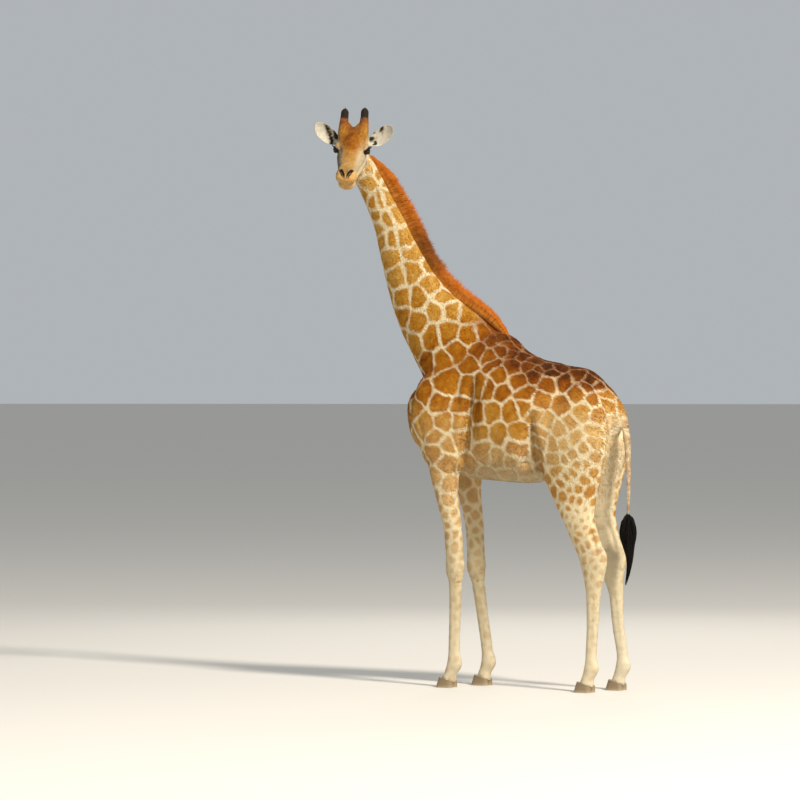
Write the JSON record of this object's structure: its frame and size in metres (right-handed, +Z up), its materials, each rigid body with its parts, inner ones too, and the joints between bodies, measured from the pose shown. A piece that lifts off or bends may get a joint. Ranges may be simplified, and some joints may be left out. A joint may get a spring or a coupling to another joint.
{
  "type": "giraffe",
  "caption": "Life-size standing giraffe, still, its neck raised and its head turned to the left; patched short coat, upright mane, hairy ossicones and tufted tail.",
  "frame": {"origin": "on the ground under the middle of the whole outline, seen from above", "axes": "+Z up; the trunk's nose end is towards -Y and its left side towards +X; the head is turned to the animal's left and looks towards +X"},
  "size_m": [0.9174, 2.5256, 4.3439],
  "materials": {
    "coat": "short flat hair, orange-brown patches parted by cream lines",
    "pale_coat": "short flat cream hair with faint tan spots",
    "mane_hair": "stiff upright rusty brown hair",
    "tail_hair": "long coarse black hair",
    "ossicone_hair": "short orange-brown hair with black hair round the top",
    "hoof_horn": "dull dark grey-brown horn, dusty and finely ringed",
    "eye": "wet dark brown"
  },
  "bodies": {
    "root": {"trunk": "coat", "neck": "coat", "head": "coat", "lower_jaw": "pale_coat", "ear_left": "pale_coat", "ear_right": "pale_coat", "ossicone_left": "ossicone_hair", "ossicone_right": "ossicone_hair", "eye_left": "eye", "eye_right": "eye", "mane": "mane_hair", "tail": "coat", "tail_tuft": "tail_hair", "fore_left_shoulder": "coat", "fore_left_forearm": "coat", "fore_left_cannon": "pale_coat", "fore_left_claw_outer": "hoof_horn", "fore_left_claw_inner": "hoof_horn", "fore_right_shoulder": "coat", "fore_right_forearm": "coat", "fore_right_cannon": "pale_coat", "fore_right_claw_outer": "hoof_horn", "fore_right_claw_inner": "hoof_horn", "hind_left_haunch": "coat", "hind_left_gaskin": "coat", "hind_left_cannon": "pale_coat", "hind_left_claw_outer": "hoof_horn", "hind_left_claw_inner": "hoof_horn", "hind_right_haunch": "coat", "hind_right_gaskin": "coat", "hind_right_cannon": "pale_coat", "hind_right_claw_outer": "hoof_horn", "hind_right_claw_inner": "hoof_horn"}
  },
  "joints": []
}
